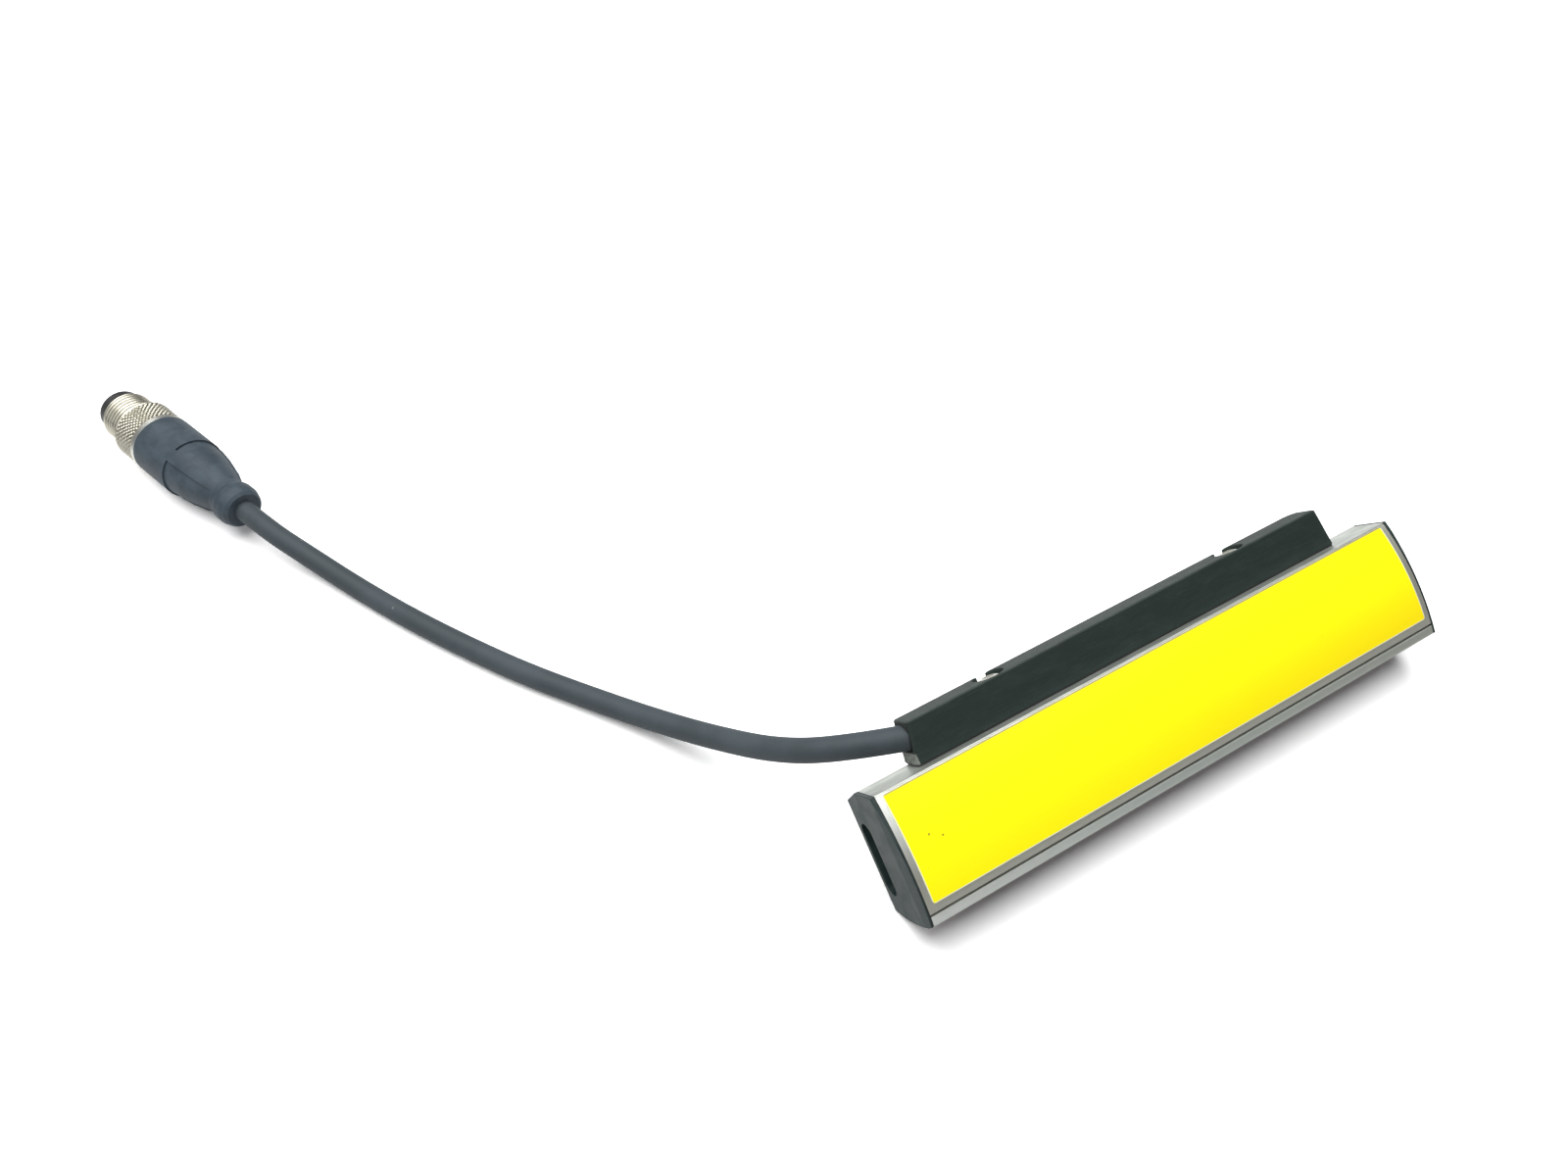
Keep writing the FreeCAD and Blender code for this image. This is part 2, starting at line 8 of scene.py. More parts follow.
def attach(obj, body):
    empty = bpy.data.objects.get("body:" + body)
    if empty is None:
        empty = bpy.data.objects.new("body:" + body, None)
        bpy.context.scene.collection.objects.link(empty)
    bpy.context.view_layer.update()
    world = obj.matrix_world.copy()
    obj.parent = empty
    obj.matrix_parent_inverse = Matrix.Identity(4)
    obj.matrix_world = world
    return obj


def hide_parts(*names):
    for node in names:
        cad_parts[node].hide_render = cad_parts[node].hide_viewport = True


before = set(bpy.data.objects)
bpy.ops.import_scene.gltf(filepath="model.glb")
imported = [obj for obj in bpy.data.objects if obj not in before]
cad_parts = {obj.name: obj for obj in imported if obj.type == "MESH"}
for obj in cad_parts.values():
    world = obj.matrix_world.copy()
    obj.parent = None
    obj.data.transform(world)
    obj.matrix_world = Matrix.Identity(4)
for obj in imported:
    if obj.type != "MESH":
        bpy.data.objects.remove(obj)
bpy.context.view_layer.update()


# --- Housing -------------------------------------------------------------------------------------
# The stick's body is a satin anodised aluminium extrusion, drawn lengthwise through its die and
# sawn to length. It leans on the lower back edge of its section.

class Wire:
    """A node's output that can be added, subtracted, multiplied, divided and compared."""

    def __init__(self, graph, socket):
        self.graph = graph
        self.socket = socket

    def maths(self, operation, *values):
        settings = {"operation": operation}
        return self.graph.node("ShaderNodeMath", settings, dict(enumerate(values)))[0]

    def __add__(self, other):
        return self.maths("ADD", self, other)

    def __sub__(self, other):
        return self.maths("SUBTRACT", self, other)

    def __rsub__(self, other):
        return self.maths("SUBTRACT", other, self)

    def __mul__(self, other):
        return self.maths("MULTIPLY", self, other)

    def __truediv__(self, other):
        return self.maths("DIVIDE", self, other)

    def __rtruediv__(self, other):
        return self.maths("DIVIDE", other, self)

    def __pow__(self, other):
        return self.maths("POWER", self, other)

    def __gt__(self, other):
        return self.maths("GREATER_THAN", self, other)

    def __lt__(self, other):
        return self.maths("LESS_THAN", self, other)

    __radd__ = __add__
    __rmul__ = __mul__

    def least(self, other):
        return self.maths("MINIMUM", self, other)

    def most(self, other):
        return self.maths("MAXIMUM", self, other)

    def absolute(self):
        return self.maths("ABSOLUTE", self)

    def zigzag(self):
        """A triangle wave from 0 to 1 and back as the value goes up by 1."""
        return self.maths("PINGPONG", self, 0.5) * 2

    def between(self, low, high):
        """0 below low, 1 above high, smooth between them."""
        settings = {"interpolation_type": "SMOOTHSTEP"}
        return self.graph.node("ShaderNodeMapRange", settings, {0: self, 1: low, 2: high})[0]

    def parts(self):
        split = self.graph.node("ShaderNodeSeparateXYZ", {}, {0: self})
        return split[0], split[1], split[2]


class Node:
    """One node, whose outputs are read as wires by number or name."""

    def __init__(self, graph, node):
        self.graph = graph
        self.node = node

    def __getitem__(self, key):
        return Wire(self.graph, self.node.outputs[key])

    def set(self, values):
        for key, value in values.items():
            socket = self.node.inputs[key]
            if isinstance(value, Wire):
                self.graph.tree.links.new(value.socket, socket)
            else:
                socket.default_value = value
        return self


class Graph:
    """A material's or a geometry modifier's node tree."""

    def __init__(self, tree):
        self.tree = tree

    def node(self, kind, settings={}, values={}):
        """Adds a node: first its settings, and then the values or links of its sockets."""
        node = self.tree.nodes.new(kind)
        for name, value in settings.items():
            setattr(node, name, value)
        return Node(self, node).set(values)

    def mix(self, mask, first, second):
        """The first colour where the mask is 0 and the second where it is 1."""
        first, second = [c if isinstance(c, Wire) else (*c, 1.0) for c in (first, second)]
        return self.node("ShaderNodeMix", {"data_type": "RGBA"}, {0: mask, 6: first, 7: second})[2]

    def join(self, x, y, z):
        return self.node("ShaderNodeCombineXYZ", {}, {0: x, 1: y, 2: z})[0]

    def noise(self, place, scale, detail=3.0, roughness=0.55, distortion=0.0):
        values = {
            "Vector": place, "Scale": scale, "Detail": detail,
            "Roughness": roughness, "Distortion": distortion,
        }
        return self.node("ShaderNodeTexNoise", {}, values)["Fac"]

    def spots(self, place, scale, size):
        """Round specks, 1 inside and 0 outside, and for each speck its own chance from 0 to 1."""
        cells = self.node("ShaderNodeTexVoronoi", {}, {"Vector": place, "Scale": scale})
        chance = cells["Color"].parts()[0]
        return 1 - cells["Distance"].between(size * 0.5, size), chance

    def bump(self, height, depth):
        """A Bump node for a height of 0 to 1 that stands depth metres deep."""
        values = {"Height": height, "Distance": depth, "Strength": 1.0}
        return self.node("ShaderNodeBump", {}, values)["Normal"]


def new_finish(name):
    """A material, its graph and its surface shader."""
    finish = bpy.data.materials.new(name)
    finish.use_nodes = True
    finish.node_tree.nodes.clear()
    graph = Graph(finish.node_tree)
    surface = graph.node("ShaderNodeBsdfPrincipled")
    graph.node("ShaderNodeOutputMaterial", {}, {"Surface": surface["BSDF"]})
    return finish, graph, surface


def put_on(finish, *nodes):
    """Gives CAD nodes a finish."""
    for name in nodes:
        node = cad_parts[name]
        node.data.materials.clear()
        node.data.materials.append(finish)


MM = 0.001
LEAN = math.radians(39.3)
foot = min((v.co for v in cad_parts["housing"].data.vertices), key=lambda co: co.z)


def own_axes(graph, shift, turn):
    """Object coordinates in millimetres, turned and then shifted into a piece's own axes."""
    at = graph.node("ShaderNodeTexCoord")["Object"]
    values = {"Vector": at, "Location": shift, "Rotation": turn, "Scale": [1 / MM] * 3}
    return graph.node("ShaderNodeMapping", {"vector_type": "POINT"}, values)[0]


def stick_place(graph):
    """Millimetres along the stick, across it from the window side, and out from its back."""
    back = Matrix.Rotation(-LEAN, 3, "X") @ Vector((0, -foot.y / MM, 0))
    return own_axes(graph, back, (-LEAN, 0, 0))


ALUMINIUM = (0.46, 0.49, 0.45)
ALUMINIUM_PALE = (0.80, 0.83, 0.79)
CROWN_DULL = (0.60, 0.60, 0.52)
STRIP_SHADE = (0.45, 0.46, 0.39)
FRONT_STRIP = (0.55, 0.60, 0.56)
GROOVE_SHADE = (0.025, 0.028, 0.026)
CROWN_FOOT = 12.9
WINDOW_EDGE = 14.8
GROOVE = (1.75, 2.15)
GROOVE_WALL = 0.02
NEAR_RIM = (-59.0, -54.0)
NEAR_RIM_SHINE = (8.0, 18.0)
BLOCK_SIDE_HIGHLIGHT = (22.5, 23.3)
STRIP_SHADING = (-20.0, 70.0)
STRIP_BRIGHT_END = (-60.0, 0.0)
STRIP_INNER_EDGE = (1.3, 1.6)
STRIP_OUTER_EDGE = (0.1, 0.4)

anodised, graph, surface = new_finish("satin_anodised_aluminium")
along, across, out = stick_place(graph).parts()
drawn = graph.noise(graph.join(along * 0.02, across, out), 9.0, 6.0, 0.7)
cloudy = graph.noise(graph.join(along * 0.35, across, out), 0.5, 3.0)
scuffs = graph.noise(graph.join(along, across * 0.3, out * 0.3), 2.4, 4.0, 0.6, 0.6)
scuffs = scuffs.between(0.62, 0.72)
pale = (cloudy.between(0.35, 0.7) * 0.45 + scuffs * 0.35).least(1.0)
side = graph.mix(pale, ALUMINIUM, ALUMINIUM_PALE)
crown = graph.mix(drawn.between(0.3, 0.8) * 0.35, CROWN_DULL, FRONT_STRIP)
# Painted highlight: the crown's upper part at its near end, beside the label, is painted paler.
near_rim_highlight = (1 - along.between(*NEAR_RIM)) * across.between(*NEAR_RIM_SHINE)
# Painted highlight: a paler band along the crown's top edge beside the block.
crown_edge_highlight = across.between(*BLOCK_SIDE_HIGHLIGHT)
crown = graph.mix((near_rim_highlight * 0.9).most(crown_edge_highlight * 0.4), crown, ALUMINIUM_PALE)
# Painted light: the lower strip is painted darker towards the far end and paler towards the near
# end.
strip = graph.mix(along.between(*STRIP_SHADING) * 0.7, FRONT_STRIP, STRIP_SHADE)
strip = graph.mix(1 - along.between(*STRIP_BRIGHT_END), strip, ALUMINIUM_PALE)
lit_edge = across.between(*STRIP_INNER_EDGE) + 1 - across.between(*STRIP_OUTER_EDGE)
strip = graph.mix(lit_edge * 0.5, strip, ALUMINIUM_PALE)
crown = graph.mix(across < GROOVE[0], crown, strip)
# Painted shade: the groove between the crown and the lower strip is painted dark.
groove_shade_mask = (across > GROOVE[0] + GROOVE_WALL) * (across < GROOVE[1] - GROOVE_WALL)
crown = graph.mix(groove_shade_mask * (out < WINDOW_EDGE - GROOVE_WALL), crown, GROOVE_SHADE)
surface.set({
    "Base Color": graph.mix(out > CROWN_FOOT, side, crown),
    "Roughness": 0.36 + drawn * 0.14,
    "Metallic": 0.85,
    "Normal": graph.bump(drawn, 0.00003),
})
put_on(anodised, "housing")


# --- Front screen --------------------------------------------------------------------------------
# A strip of infrared-pass acrylic, nearly black with a red depth, slid into the extrusion so that
# its flange bears on the inside of the lips. Its polish is dulled by fine wiping marks.

screen_acrylic, graph, surface = new_finish("infrared_pass_acrylic")
along, across, out = stick_place(graph).parts()
wiped = graph.noise(graph.join(along * 0.08, across, out), 3.0, 5.0, 0.6)
surface.set({
    "Base Color": graph.mix(wiped, (0.020, 0.006, 0.008), (0.045, 0.012, 0.014)),
    "Roughness": 0.08 + wiped * 0.12,
    "IOR": 1.49,
    "Coat Weight": 0.3,
})
put_on(screen_acrylic, "front_screen")


# --- Optics behind the screen --------------------------------------------------------------------
# Moulded lens strip, black tunnel bar and a populated board: sealed in and seen only dimly. They
# slide into the extrusion as one pack before the caps go on.

lens_plastic, graph, surface = new_finish("lens_plastic")
tint = graph.noise(stick_place(graph), 0.2)
surface.set({
    "Base Color": graph.mix(tint, (0.10, 0.03, 0.03), (0.13, 0.04, 0.04)),
    "Roughness": 0.1,
})
put_on(lens_plastic, "lens_strip")

tunnel_plastic, graph, surface = new_finish("tunnel_plastic")
grain = graph.noise(stick_place(graph), 6.0)
surface.set({
    "Base Color": graph.mix(grain, (0.012, 0.012, 0.012), (0.02, 0.02, 0.02)),
    "Roughness": 0.75,
})
put_on(tunnel_plastic, "tunnel_bar", "board_socket", "pin_header", "board_chips", "photodiodes")

solder_mask, graph, surface = new_finish("green_solder_mask")
grain = graph.noise(stick_place(graph), 0.8, 5.0)
surface.set({
    "Base Color": graph.mix(grain, (0.008, 0.07, 0.03), (0.012, 0.11, 0.045)),
    "Roughness": 0.4,
})
put_on(solder_mask, "optics_board")

clear_epoxy, graph, surface = new_finish("clear_epoxy")
grain = graph.noise(stick_place(graph), 1.5)
surface.set({
    "Base Color": graph.mix(grain, (0.40, 0.42, 0.46), (0.5, 0.5, 0.54)),
    "Roughness": 0.15,
})
put_on(clear_epoxy, "infrared_emitters")

gilt, graph, surface = new_finish("gilt_contacts")
grain = graph.noise(graph.node("ShaderNodeTexCoord")["Object"], 900.0, 4.0)
surface.set({
    "Base Color": graph.mix(grain, (0.68, 0.50, 0.24), (0.82, 0.66, 0.36)),
    "Roughness": 0.22 + grain * 0.12,
    "Metallic": 1.0,
})
put_on(gilt, "link_pins", "contact_pins")

core_sleeving, graph, surface = new_finish("core_insulation")
grain = graph.noise(stick_place(graph), 2.0)
surface.set({
    "Base Color": graph.mix(grain, (0.20, 0.09, 0.03), (0.26, 0.13, 0.05)),
    "Roughness": 0.45,
})
put_on(core_sleeving, "cable_cores")


# --- End caps and their seals --------------------------------------------------------------------
# Glass-filled nylon mouldings pushed into the ends of the extrusion over thin rubber gaskets. The
# faces are finely eroded and slightly bloomed.

CAP_BLACK = (0.013, 0.026, 0.025)
CAP_BLOOM = (0.026, 0.043, 0.041)

cap_nylon, graph, surface = new_finish("cap_nylon")
place = stick_place(graph)
grain = graph.noise(place, 9.0, 4.0, 0.6)
bloom = graph.noise(place, 0.28, 4.0, 0.6).between(0.38, 0.68)
surface.set({
    "Base Color": graph.mix(bloom, CAP_BLACK, CAP_BLOOM),
    "Roughness": 0.42 + bloom * 0.16,
    "Specular IOR Level": 0.3,
    "Normal": graph.bump(grain, 0.00004),
})
put_on(cap_nylon, "end_cap_near", "end_cap_far")

seal_rubber, graph, surface = new_finish("seal_rubber")
grain = graph.noise(stick_place(graph), 5.0)
surface.set({
    "Base Color": graph.mix(grain, (0.015, 0.015, 0.015), (0.025, 0.025, 0.025)),
    "Roughness": 0.7,
})
put_on(seal_rubber, "end_seal_near", "end_seal_far", "block_seal")


# --- Label ---------------------------------------------------------------------------------------
# A bare yellow polyester film glued to the crown, with a pale cut edge, a painted shadow along its
# top edge, a painted orange shade that grows towards its far lower end and a few dark specks of
# dirt.

LABEL_YELLOW = (1.0, 0.92, 0.006)
LABEL_ORANGE = (1.0, 0.76, 0.005)
LABEL_EDGE = (0.80, 0.80, 0.60)
LABEL_EDGE_SHADOW = (0.36, 0.30, 0.10)
LABEL_HALF = 57.9
LABEL_LOW = 3.65
LABEL_HIGH = 23.45
CUT_EDGE = 0.22
SHADE_ALONG = (-60.0, 60.0)
SHADE_ACROSS = (3.0, 17.0)
LABEL_DIRT = (0.16, 0.12, 0.02)
DARK_SPECKS = [(-53.7, 14.5), (-51.5, 13.3)]
SPECK_CORE = 0.1
SPECK_RADIUS = 0.3

film, graph, surface = new_finish("yellow_label_film")
place = stick_place(graph)
along, across, out = place.parts()
to_rim = (LABEL_HALF - along.absolute()).least(across - LABEL_LOW)
rim = 1 - to_rim.between(CUT_EDGE * 0.4, CUT_EDGE)
# Painted shadow: a thin brownish line along the label's top edge.
top_edge_shadow = across.between(LABEL_HIGH - CUT_EDGE, LABEL_HIGH - CUT_EDGE * 0.5)
# Painted shade: the label's lower part turns orange, more so towards the far end; the dappling is
# the film's own tone.
lower_shade = along.between(*SHADE_ALONG) * (1 - across.between(*SHADE_ACROSS)) * 0.75
dappled = graph.noise(place, 0.12, 3.0).between(0.45, 0.75) * 0.06
yellow = graph.mix((lower_shade + dappled).least(1.0), LABEL_YELLOW, LABEL_ORANGE)
yellow = graph.mix(top_edge_shadow, graph.mix(rim, yellow, LABEL_EDGE), LABEL_EDGE_SHADOW)
speck, chance = graph.spots(place, 0.2, 0.022)
dirt_and_shade = speck * (chance > 0.72)
for speck_along, speck_across in DARK_SPECKS:
    from_speck = ((along - speck_along) ** 2 + (across - speck_across) ** 2) ** 0.5
    dirt_and_shade = dirt_and_shade.most(1 - from_speck.between(SPECK_CORE, SPECK_RADIUS))
orange_peel = graph.noise(place, 1.6, 2.0)
surface.set({
    "Base Color": graph.mix(dirt_and_shade * 0.8, yellow, LABEL_DIRT),
    "Roughness": 0.42 + orange_peel * 0.08,
    "Specular IOR Level": 0.1,
    "Normal": graph.bump(orange_peel, 0.00002),
})
put_on(film, "label")


# --- Connection block ----------------------------------------------------------------------------
# A moulded cover over the wiring, screwed to the side of the extrusion on a flat gasket. Its faces
# carry fine lengthwise machining lines, grey streaks and rubbed patches, and its top face is
# lighter with painted light.

BLOCK_BLACK = (0.016, 0.026, 0.022)
BLOCK_GREY = (0.058, 0.072, 0.068)
BLOCK_TOP_LIGHT = (0.046, 0.058, 0.053)
BLOCK_TOP = 32.0

block_plastic, graph, surface = new_finish("block_plastic")
place = stick_place(graph)
along, across, out = place.parts()
lines = graph.noise(graph.join(along * 0.035, across * 1.6, out * 1.6), 3.2, 5.0, 0.75)
strands = graph.noise(graph.join(along * 0.10, across * 2.6, out * 2.6), 2.2, 3.0, 0.6)
strands = strands.between(0.60, 0.70)
worn = graph.noise(graph.join(along * 0.4, across, out), 0.5, 4.0).between(0.4, 0.75)
grey = (strands * 0.30 + worn * 0.12 + lines.between(0.45, 0.8) * 0.18).least(1.0)
# Painted light: the top face is painted lighter than the front, varied by the rubbed patches.
top_light = across.between(BLOCK_TOP - 0.4, BLOCK_TOP - 0.1) * (0.55 + worn * 0.45)
surface.set({
    "Base Color": graph.mix(top_light, graph.mix(grey, BLOCK_BLACK, BLOCK_GREY), BLOCK_TOP_LIGHT),
    "Roughness": 0.56 + lines * 0.14,
    "Specular IOR Level": 0.2,
    "Normal": graph.bump(lines + strands * 0.4, 0.00007),
})
put_on(block_plastic, "connection_block")


# --- Block screws --------------------------------------------------------------------------------
# Two domed socket-head screws, zinc plated, sunk in counterbores in the top of the block. They
# clamp it and its gasket to the thick wall of the extrusion.

ZINC_DULL = (0.60, 0.60, 0.56)
ZINC_PALE = (0.84, 0.84, 0.80)

zinc_plate, graph, surface = new_finish("zinc_plated_steel")
grain = graph.noise(stick_place(graph), 1.2, 4.0, 0.6)
surface.set({
    "Base Color": graph.mix(grain, ZINC_DULL, ZINC_PALE),
    "Roughness": 0.30 + grain * 0.2,
    "Metallic": 1.0,
    "Normal": graph.bump(grain, 0.00006),
})
put_on(zinc_plate, "block_screws")


# --- Potting -------------------------------------------------------------------------------------
# Grey sealing compound poured round the stripped cable in the open end of the block. It is left
# rough, and where it lies back in the channel it is darkened with painted shade.

POTTING_FOOT = 26.4
POTTING_DARK = (0.09, 0.10, 0.09)
POTTING_PALE = (0.26, 0.28, 0.25)
CHANNEL_SHADE = (0.02, 0.022, 0.022)

potting_compound, graph, surface = new_finish("potting_compound")
place = stick_place(graph)
lumps = graph.noise(place, 1.4, 6.0, 0.7)
# Painted shade: darker where the compound lies back in the channel.
inside = place.parts()[1].between(POTTING_FOOT - 0.3, POTTING_FOOT)
rough_grey = graph.mix(lumps.between(0.3, 0.7), POTTING_DARK, POTTING_PALE)
surface.set({
    "Base Color": graph.mix(inside, rough_grey, CHANNEL_SHADE),
    "Roughness": 0.85,
    "Normal": graph.bump(lumps, 0.0006),
})
put_on(potting_compound, "potting")


# --- Cable ---------------------------------------------------------------------------------------
# A stiff round sensor cable with a dark grey polyurethane jacket. It leaves the potted end of the
# block, drops to the surface, runs along it in one long curve and rises into the plug's grip.

CABLE_RADIUS = 2.35 * MM
CABLE_ROUTE = [
    (-47.235, 11.052, 24.108),
    (-57.7, 16.2, 21.6),
    (-65.7, 24.6, 15.4),
    (-72.9, 37.1, 8.3),
    (-80.5, 49.3, 4.1),
    (-89.0, 61.6, 2.4),
    (-98.0, 73.7, 2.4),
    (-106.1, 86.4, 2.4),
    (-113.8, 99.6, 2.4),
    (-120.9, 113.3, 2.5),
    (-127.4, 125.9, 4.1),
    (-132.8, 134.8, 7.3),
    (-136.013, 143.690, 7.35),
]

JACKET_GREY = (0.034, 0.045, 0.052)
JACKET_PALE = (0.050, 0.064, 0.074)
JACKET_DUST = (0.25, 0.26, 0.26)

jacket, graph, surface = new_finish("polyurethane_jacket")
place = graph.node("ShaderNodeTexCoord")["Object"]
grain = graph.noise(place, 1400.0, 3.0)
cloudy = graph.noise(place, 60.0, 4.0, 0.6).between(0.35, 0.7)
speck, chance = graph.spots(place, 260.0, 0.10)
dust = speck * (chance > 0.8)
rubbed = graph.mix(cloudy, JACKET_GREY, JACKET_PALE)
surface.set({
    "Base Color": graph.mix(dust * 0.3, rubbed, JACKET_DUST),
    "Roughness": 0.60 + cloudy * 0.1,
    "Specular IOR Level": 0.35,
    "Normal": graph.bump(grain, 0.00003),
})

curve = bpy.data.curves.new("cable_run", "CURVE")
curve.dimensions = "3D"
spline = curve.splines.new("NURBS")
spline.points.add(len(CABLE_ROUTE) - 1)
for point, stop in zip(spline.points, CABLE_ROUTE):
    point.co = (*(Vector(stop) * MM), 1.0)
spline.order_u = 3
spline.use_endpoint_u = True
spline.resolution_u = 16
curve.bevel_depth = CABLE_RADIUS
curve.bevel_resolution = 10
curve.use_fill_caps = True
curve.materials.append(jacket)
cable = bpy.data.objects.new("cable_run", curve)
bpy.context.scene.collection.objects.link(cable)
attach(cable, "stick")
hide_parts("cable")


# --- Plug grip -----------------------------------------------------------------------------------
# Polyurethane moulded over the end of the cable and the contact carrier: a round collar, three
# scooped finger hollows, a tapered neck and a bead that stops the cable from kinking.

PLUG_ANGLE = math.radians(110.0)
GRIP_RADIUS = 7.35
GRIP_FRONT = (-147.3, 174.7, GRIP_RADIUS)
GRIP_GREY = (0.030, 0.044, 0.057)
GRIP_PALE = (0.050, 0.070, 0.088)
plug_turn = Matrix.Rotation(PLUG_ANGLE, 4, "Z")
grip_front = Matrix.Translation([x * MM for x in GRIP_FRONT])
plug_place = grip_front @ plug_turn @ Matrix.Scale(MM, 4)


def plug_axes(graph):
    """Millimetres in the plug's own axes, its first axis pointing out of the mating end."""
    back = plug_place.inverted().to_translation()
    return own_axes(graph, back, (0, 0, -PLUG_ANGLE))


grip_rubber, graph, surface = new_finish("grip_polyurethane")
place = plug_axes(graph)
grain = graph.noise(place, 5.0, 3.0)
cloudy = graph.noise(place, 0.22, 3.0, 0.6, 0.4).between(0.35, 0.7)
surface.set({
    "Base Color": graph.mix(cloudy, GRIP_GREY, GRIP_PALE),
    "Roughness": 0.54 + cloudy * 0.08,
    "Specular IOR Level": 0.3,
    "Normal": graph.bump(grain, 0.00003),
})
put_on(grip_rubber, "plug_grip")


# --- Contact carrier -----------------------------------------------------------------------------
# A black nylon insert that holds the five gilt contacts in a keyed cup; its rim stands past the
# threaded sleeve.

carrier_nylon, graph, surface = new_finish("carrier_nylon")
grain = graph.noise(plug_axes(graph), 3.0, 4.0)
surface.set({
    "Base Color": graph.mix(grain, (0.014, 0.014, 0.015), (0.026, 0.026, 0.028)),
    "Roughness": 0.38 + grain * 0.12,
    "Normal": graph.bump(grain, 0.00003),
})
put_on(carrier_nylon, "contact_carrier")


# --- Coupling sleeve -----------------------------------------------------------------------------
# Nickel-plated brass, turned in one piece: a diamond-knurled ring and a sleeve with a fine 12 mm
# thread. It turns freely on the contact carrier, between the grip and the carrier's step.

SEGMENTS = 264
KNURL_ROWS = 42
THREAD_ROWS = 60
SLEEVE_BACK = 0.3
RING_RADIUS = 7.3
RING_EDGE = 0.6
RING_END = 8.4
RING_FRONT_CHAMFER = 0.8
THREAD_RADIUS = 6.0
THREAD_START = 8.9
THREAD_END = 15.5
THREAD_CHAMFER = 0.35
NECK_BORE = 4.66
SLEEVE_BORE = 5.16
COLLAR_END = 3.9
DIAMONDS_AROUND = 44
DIAMOND_LENGTH = 1.1
KNURL_DEPTH = 0.25
THREAD_PITCH = 1.0
THREAD_DEPTH = 0.2
THREAD_FLANK = 1.25
KNURL_RUN_OUT = 0.35
THREAD_RUN_OUT = 0.5
RELIEF_RADIUS = THREAD_RADIUS - 0.45
RELIEF_SLOPE = 0.25
SEAM_WELD = 0.001
RING_WELD = 0.0005
CREASE = math.radians(30)
NICKEL = (0.58, 0.56, 0.47)
NICKEL_TARNISHED = (0.40, 0.38, 0.30)
NICKEL_CHAMFER_HIGHLIGHT = (0.68, 0.68, 0.63)
NICKEL_ROOT_SHADE = (0.12, 0.115, 0.085)

knurl_start = SLEEVE_BACK + RING_EDGE
knurl_end = RING_END - RING_FRONT_CHAMFER
thread_stop = THREAD_END - THREAD_CHAMFER


def geometry_tree(name, inputs):
    """A geometry tree with named size inputs, its graph and the wires of those inputs."""
    tree = bpy.data.node_groups.new(name, "GeometryNodeTree")
    tree.interface.new_socket("Geometry", in_out="OUTPUT", socket_type="NodeSocketGeometry")
    for size, kind in inputs.items():
        tree.interface.new_socket(size, in_out="INPUT", socket_type=kind)
    graph = Graph(tree)
    group = graph.node("NodeGroupInput")
    return tree, graph, {size: group[size] for size in inputs}


def grown(name, tree, sizes):
    """The plain mesh that a geometry tree makes with these sizes."""
    seed = bpy.data.objects.new(name, bpy.data.meshes.new(name))
    bpy.context.scene.collection.objects.link(seed)
    modifier = seed.modifiers.new(name, "NODES")
    modifier.node_group = tree
    for item in tree.interface.items_tree:
        if item.in_out == "INPUT":
            modifier[item.identifier] = sizes[item.name]
    graph = bpy.context.evaluated_depsgraph_get()
    mesh = bpy.data.meshes.new_from_object(seed.evaluated_get(graph))
    bpy.data.objects.remove(seed)
    return mesh


def relief_tree(name, finish, inputs, height):
    """A band round the first axis, cut inwards where height(size, along, turn) is under 1."""
    inputs = {
        "Start": "NodeSocketFloat", "Length": "NodeSocketFloat", "Radius": "NodeSocketFloat",
        "Depth": "NodeSocketFloat", "Rows": "NodeSocketInt", "Segments": "NodeSocketInt",
        "Run-out": "NodeSocketFloat", **inputs,
    }
    tree, graph, size = geometry_tree(name, inputs)
    values = {
        "Size X": size["Length"], "Size Y": 1.0,
        "Vertices X": size["Rows"] + 1, "Vertices Y": size["Segments"] + 1,
    }
    sheet = graph.node("GeometryNodeMeshGrid", {}, values)["Mesh"]
    x, y, z = graph.node("GeometryNodeInputPosition")[0].parts()
    inset = x + size["Length"] / 2
    along = inset + size["Start"]
    near_end = (inset.least(size["Length"] - inset) / size["Run-out"]).least(1.0)
    radius = size["Radius"] - size["Depth"] * near_end * (1 - height(size, along, y))
    angle = y * (2 * math.pi)
    side = radius * angle.maths("SINE", angle)
    at = graph.join(along, side, radius * angle.maths("COSINE", angle))
    band = graph.node("GeometryNodeSetPosition", {}, {"Geometry": sheet, "Position": at})[0]
    weld = {"Geometry": band, "Distance": SEAM_WELD}
    band = graph.node("GeometryNodeMergeByDistance", {}, weld)[0]
    band = graph.node("GeometryNodeRealizeInstances", {}, {"Geometry": band})[0]
    band = graph.node("GeometryNodeSetMaterial", {}, {"Geometry": band, "Material": finish})[0]
    graph.node("NodeGroupOutput", {}, {"Geometry": band})
    return tree


def diamond_height(size, along, turn):
    """Pyramids between two crossing sets of grooves."""
    around = turn * size["Diamonds"]
    forward = along / size["Diamond length"]
    return (around + forward).zigzag().least((around - forward).zigzag())


def thread_height(size, along, turn):
    """One helical ridge with a narrow flat crest."""
    ridge = (along / size["Pitch"] - turn).zigzag()
    return (ridge * THREAD_FLANK).least(1.0)


nickel, graph, surface = new_finish("nickel_plate")
place = plug_axes(graph)
along, side, up = place.parts()
radius = (side * side + up * up) ** 0.5
tarnish = graph.noise(place, 0.35, 4.0, 0.6).between(0.4, 0.75)
turning = graph.noise(graph.join(along, 0.0, 0.0), 18.0, 3.0)
